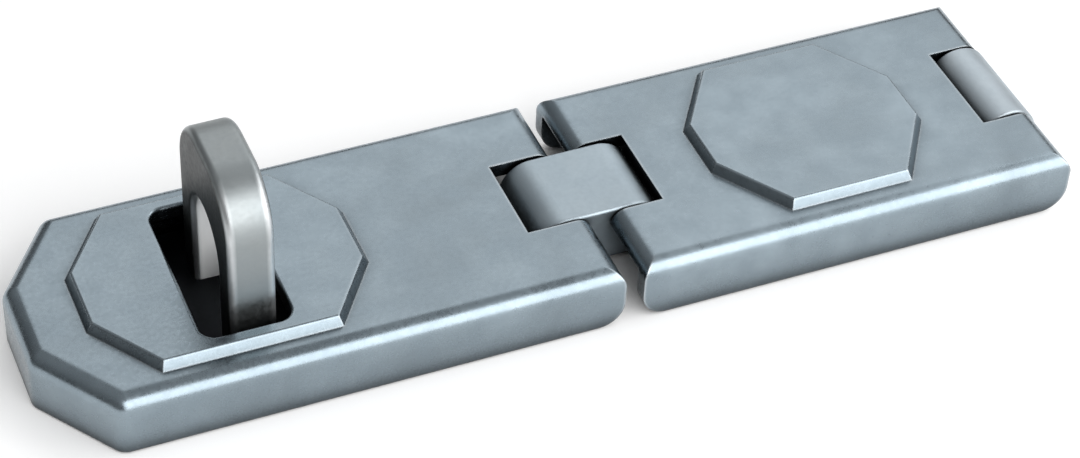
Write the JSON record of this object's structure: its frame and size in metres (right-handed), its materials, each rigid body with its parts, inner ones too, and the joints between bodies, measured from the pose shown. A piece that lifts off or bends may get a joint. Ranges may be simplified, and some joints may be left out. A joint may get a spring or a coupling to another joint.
{
  "type": "hinged hasp",
  "caption": "Double-jointed security hasp: two folded steel leaves joined by a short link, with a concealed-screw hinge plate and a riveted staple that takes a padlock.",
  "frame": {"origin": "on the mounting plane, under the middle of the closed hasp", "axes": "+X along the hasp, from the staple end to the hinge end; +Y along the hinge pins; +Z away from the mounting surface"},
  "size_m": [0.1556, 0.04, 0.0324],
  "materials": {
    "leaf_steel": "satin zinc-plated sheet",
    "link_steel": "satin zinc-plated bar",
    "pin_steel": "smooth hardened rod",
    "plate_steel": "dull zinc-plated plate",
    "staple_steel": "polished hardened bar"
  },
  "bodies": {
    "mounted_plates": {"base_plate": "plate_steel", "staple_plate": "plate_steel", "staple": "staple_steel"},
    "cover": {"cover_leaf": "leaf_steel", "cover_pin": "pin_steel", "end_pin": "pin_steel"},
    "link": {"link": "link_steel"},
    "hasp": {"hasp_leaf": "leaf_steel", "leaf_pin": "pin_steel"}
  },
  "joints": [
    {"name": "end_hinge", "type": "hinge", "parent": "mounted_plates", "child": "cover", "pos_m": [0.07272, 0, 0.00505], "axis": [0, 1, 0], "range_deg": [0, 170]},
    {"name": "cover_link_hinge", "type": "hinge", "parent": "cover", "child": "link", "pos_m": [0.01172, 0, 0.00505], "axis": [0, 1, 0], "range_deg": [-60, 0]},
    {"name": "link_leaf_hinge", "type": "hinge", "parent": "link", "child": "hasp", "pos_m": [0.00133, 0, 0.00505], "axis": [0, 1, 0], "range_deg": [-60, 0]}
  ],
  "couplings": [
    {"joint": "cover_link_hinge", "follows": "end_hinge", "ratio": -0.3529},
    {"joint": "link_leaf_hinge", "follows": "end_hinge", "ratio": -0.3529}
  ]
}
